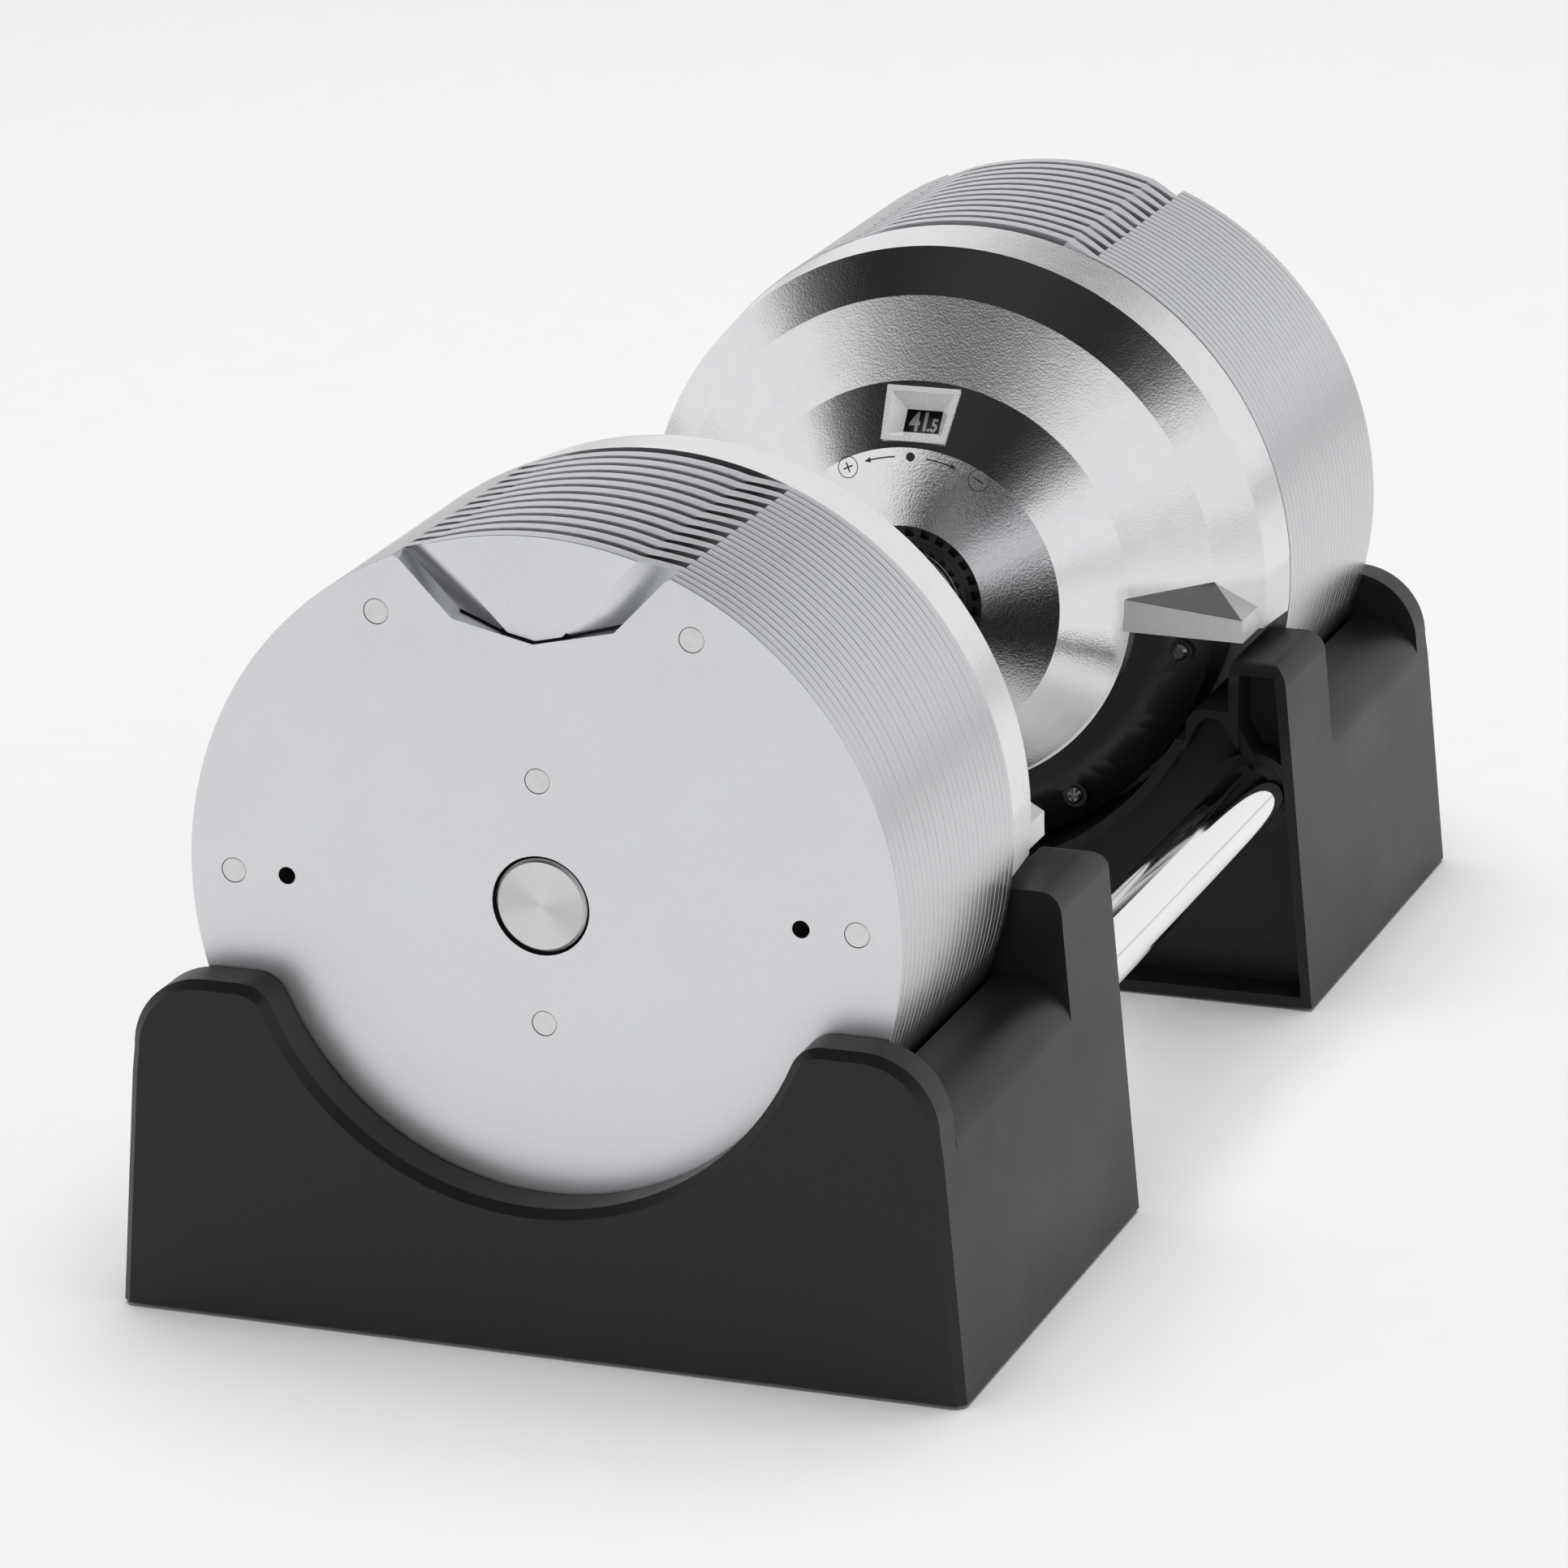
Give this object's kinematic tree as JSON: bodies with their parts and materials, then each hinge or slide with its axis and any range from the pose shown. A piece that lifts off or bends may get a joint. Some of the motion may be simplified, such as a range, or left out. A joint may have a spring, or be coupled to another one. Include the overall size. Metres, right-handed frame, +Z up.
{
  "type": "adjustable dumbbell",
  "caption": "Adjustable dumbbell with round laminated steel weights and a turning grip that picks the load, seated in a black two-saddle cradle joined by tubes.",
  "frame": {"origin": "on the supporting surface, under the middle of the dumbbell", "axes": "+X along the dumbbell's axis towards the far head, +Y across it, +Z up"},
  "size_m": [0.4432, 0.2284, 0.2106],
  "materials": {
    "cradle_plastic": "matte moulded, fine grain",
    "tube_chrome": "polished",
    "rubber": "matte",
    "screw_steel": "plated",
    "cover_metal": "satin die-cast, fine speckle, clear lacquer",
    "housing_black": "satin moulded",
    "plate_steel": "satin zinc plate",
    "rivet_steel": "satin",
    "bezel_metal": "satin chrome",
    "lens_clear": "clear",
    "grip_steel": "satin chrome, fine turned",
    "mechanism_steel": "machined",
    "collar_black": "matte",
    "dial_black": "matte",
    "cap_spun": "spun, radial highlights"
  },
  "bodies": {
    "cradle": {"saddle_near": "cradle_plastic", "saddle_far": "cradle_plastic", "tie_tube_left": "tube_chrome", "tie_tube_right": "tube_chrome", "tube_screws": "screw_steel", "rubber_feet": "rubber"},
    "dumbbell": {"head_cover_near": "cover_metal", "head_cover_far": "cover_metal", "head_housing_near": "housing_black", "head_housing_far": "housing_black", "back_plate_near": "plate_steel", "back_plate_far": "plate_steel", "guide_tube": "mechanism_steel", "window_bezels": "bezel_metal", "window_lenses": "lens_clear", "housing_screws": "screw_steel", "detent_balls": "screw_steel", "detent_springs": "screw_steel", "plate_rivets": "rivet_steel", "weight_near_01": "plate_steel", "weight_near_02": "plate_steel", "weight_near_03": "plate_steel", "weight_near_04": "plate_steel", "weight_near_05": "plate_steel", "weight_near_06": "plate_steel", "weight_near_07": "plate_steel", "weight_near_08": "plate_steel", "weight_near_09": "plate_steel", "weight_near_10": "plate_steel", "weight_near_11": "plate_steel", "weight_near_12": "plate_steel", "weight_far_01": "plate_steel", "weight_far_02": "plate_steel", "weight_far_03": "plate_steel", "weight_far_04": "plate_steel", "weight_far_05": "plate_steel", "weight_far_06": "plate_steel", "weight_far_07": "plate_steel", "weight_far_08": "plate_steel", "weight_far_09": "plate_steel", "weight_far_10": "plate_steel", "weight_far_11": "plate_steel", "weight_far_12": "plate_steel"},
    "grip": {"grip_tube": "grip_steel", "cam_sleeve": "mechanism_steel", "grip_collars": "collar_black", "dial_ring_near": "dial_black", "dial_ring_far": "dial_black", "lock_rings": "mechanism_steel"},
    "plunger_near": {"plunger_rod_near": "mechanism_steel", "plunger_cap_near": "cap_spun", "follower_pin_near": "mechanism_steel"},
    "lock_near": {"lock_plate_near": "mechanism_steel", "lock_spring_near": "screw_steel"},
    "plunger_far": {"plunger_rod_far": "mechanism_steel", "plunger_cap_far": "cap_spun", "follower_pin_far": "mechanism_steel"},
    "lock_far": {"lock_plate_far": "mechanism_steel", "lock_spring_far": "screw_steel"}
  },
  "joints": [
    {"name": "dumbbell_lift", "type": "slide", "parent": "cradle", "child": "dumbbell", "axis": [0, 0, 1], "range_m": [0, 0.2]},
    {"name": "grip_turn", "type": "hinge", "parent": "dumbbell", "child": "grip", "pos_m": [0, 0, 0.1156], "axis": [1, 0, 0], "range_deg": [0, 330]},
    {"name": "plunger_far_slide", "type": "slide", "parent": "dumbbell", "child": "plunger_far", "axis": [1, 0, 0], "range_m": [-0.0866, 0]},
    {"name": "plunger_near_slide", "type": "slide", "parent": "dumbbell", "child": "plunger_near", "axis": [1, 0, 0], "range_m": [0, 0.0866]},
    {"name": "lock_far_drop", "type": "slide", "parent": "dumbbell", "child": "lock_far", "axis": [0, 0, 1], "range_m": [-0.004, 0], "deforming": ["lock_spring_far"]},
    {"name": "lock_near_drop", "type": "slide", "parent": "dumbbell", "child": "lock_near", "axis": [0, 0, 1], "range_m": [-0.004, 0], "deforming": ["lock_spring_near"]}
  ],
  "couplings": [
    {"joint": "plunger_far_slide", "follows": "grip_turn", "m_per_rad": -0.015018},
    {"joint": "plunger_near_slide", "follows": "grip_turn", "m_per_rad": 0.015018},
    {"joint": "lock_far_drop", "follows": "dumbbell_lift", "ratio": -0.02},
    {"joint": "lock_near_drop", "follows": "dumbbell_lift", "ratio": -0.02}
  ]
}
